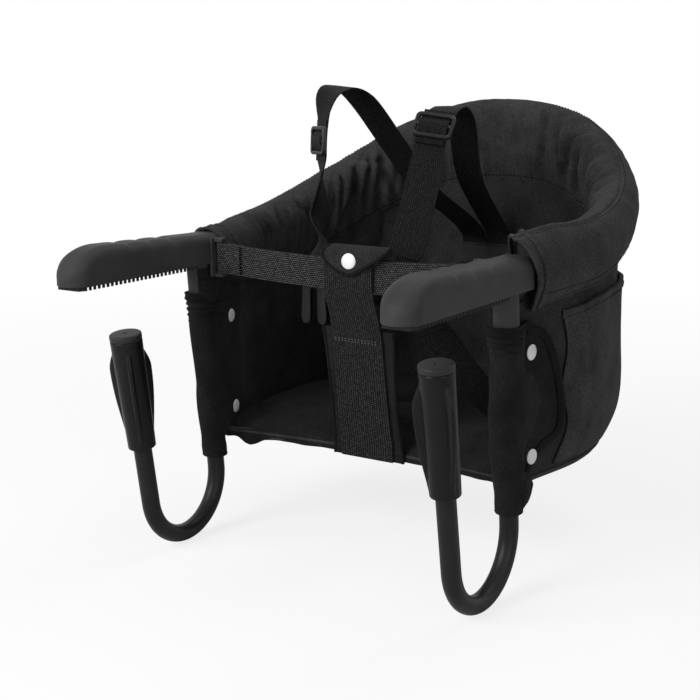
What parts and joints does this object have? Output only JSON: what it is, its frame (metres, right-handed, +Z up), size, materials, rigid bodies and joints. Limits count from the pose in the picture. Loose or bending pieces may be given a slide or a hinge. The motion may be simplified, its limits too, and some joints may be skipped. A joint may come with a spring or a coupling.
{
  "type": "hook-on table chair",
  "caption": "Fabric baby seat on a bent tube hoop that hooks onto a table: moulded arms rest on top, J-shaped hooks with finned twist grips screw up from below.",
  "frame": {"origin": "on the table top, midway between the two hook uprights, in the plane of the arm soles", "axes": "+X to the sitter's left hand, +Y from the table towards the seat back, +Z up"},
  "size_m": [0.436, 0.563, 0.4632],
  "materials": {
    "tube": "satin dark grey paint",
    "moulding": "fine-textured dark grey moulding",
    "grip": "satin dark grey moulding",
    "rubber": "matt black",
    "steel": "zinc plated",
    "brass": "turned",
    "snap": "bright pressed metal",
    "cloth": "matt black twill",
    "webbing": "coarse black webbing",
    "board": "plain"
  },
  "bodies": {
    "seat": {"hoop_tube": "tube", "left_arm_body": "moulding", "left_arm_pad": "rubber", "left_socket": "moulding", "left_belt_bracket": "moulding", "left_side_sleeve": "cloth", "right_arm_body": "moulding", "right_arm_pad": "rubber", "right_socket": "moulding", "right_belt_bracket": "moulding", "right_side_sleeve": "cloth", "rim_pad": "cloth", "seat_wall": "cloth", "seat_base": "cloth", "seat_board": "board", "seat_pad": "cloth", "back_pocket": "cloth", "front_belt": "webbing", "crotch_strap": "webbing", "crotch_panel": "cloth", "crotch_tab": "cloth", "left_upper_snap_cap": "snap", "left_upper_snap_stud": "snap", "left_lower_snap_cap": "snap", "left_lower_snap_stud": "snap", "right_upper_snap_cap": "snap", "right_upper_snap_stud": "snap", "right_lower_snap_cap": "snap", "right_lower_snap_stud": "snap", "tab_snap_cap": "snap", "tab_snap_stud": "snap", "left_shoulder_strap": "webbing", "left_waist_strap": "webbing", "left_slider": "moulding", "left_clip": "moulding", "right_shoulder_strap": "webbing", "right_waist_strap": "webbing", "right_slider": "moulding", "right_clip": "moulding"},
    "left_hook": {"left_hook_tube": "tube", "left_hook_plug": "steel", "left_pivot_bolt": "steel", "left_screw_spindle": "steel"},
    "left_foot": {"left_foot_pad": "rubber"},
    "left_twist_grip": {"left_grip": "grip", "left_nut_insert": "brass"},
    "right_hook": {"right_hook_tube": "tube", "right_hook_plug": "steel", "right_pivot_bolt": "steel", "right_screw_spindle": "steel"},
    "right_foot": {"right_foot_pad": "rubber"},
    "right_twist_grip": {"right_grip": "grip", "right_nut_insert": "brass"}
  },
  "joints": [
    {"name": "left_hook_swivel", "type": "hinge", "parent": "seat", "child": "left_hook", "pos_m": [-0.1735, 0, 0], "axis": [0, -0.0851, 0.9964], "range_deg": [0, 75]},
    {"name": "left_foot_lift", "type": "slide", "parent": "left_hook", "child": "left_foot", "axis": [0.0013, -0.1493, 0.9888], "range_m": [-0.011, 0.029]},
    {"name": "left_grip_twist", "type": "hinge", "parent": "left_foot", "child": "left_twist_grip", "pos_m": [-0.17127, -0.09702, -0.16745], "axis": [0.0013, -0.1493, 0.9888], "range_deg": [-661, 1741]},
    {"name": "right_hook_swivel", "type": "hinge", "parent": "seat", "child": "right_hook", "pos_m": [0.1735, 0, 0], "axis": [0, 0.0851, -0.9964], "range_deg": [0, 75]},
    {"name": "right_foot_lift", "type": "slide", "parent": "right_hook", "child": "right_foot", "axis": [-0.0013, -0.1493, 0.9888], "range_m": [-0.022, 0.018]},
    {"name": "right_grip_twist", "type": "hinge", "parent": "right_foot", "child": "right_twist_grip", "pos_m": [0.17126, -0.09873, -0.15608], "axis": [-0.0013, -0.1493, 0.9888], "range_deg": [-1321, 1081]}
  ],
  "couplings": [
    {"joint": "left_grip_twist", "follows": "left_foot_lift", "rad_per_m": 1047.2},
    {"joint": "right_grip_twist", "follows": "right_foot_lift", "rad_per_m": 1047.2}
  ]
}
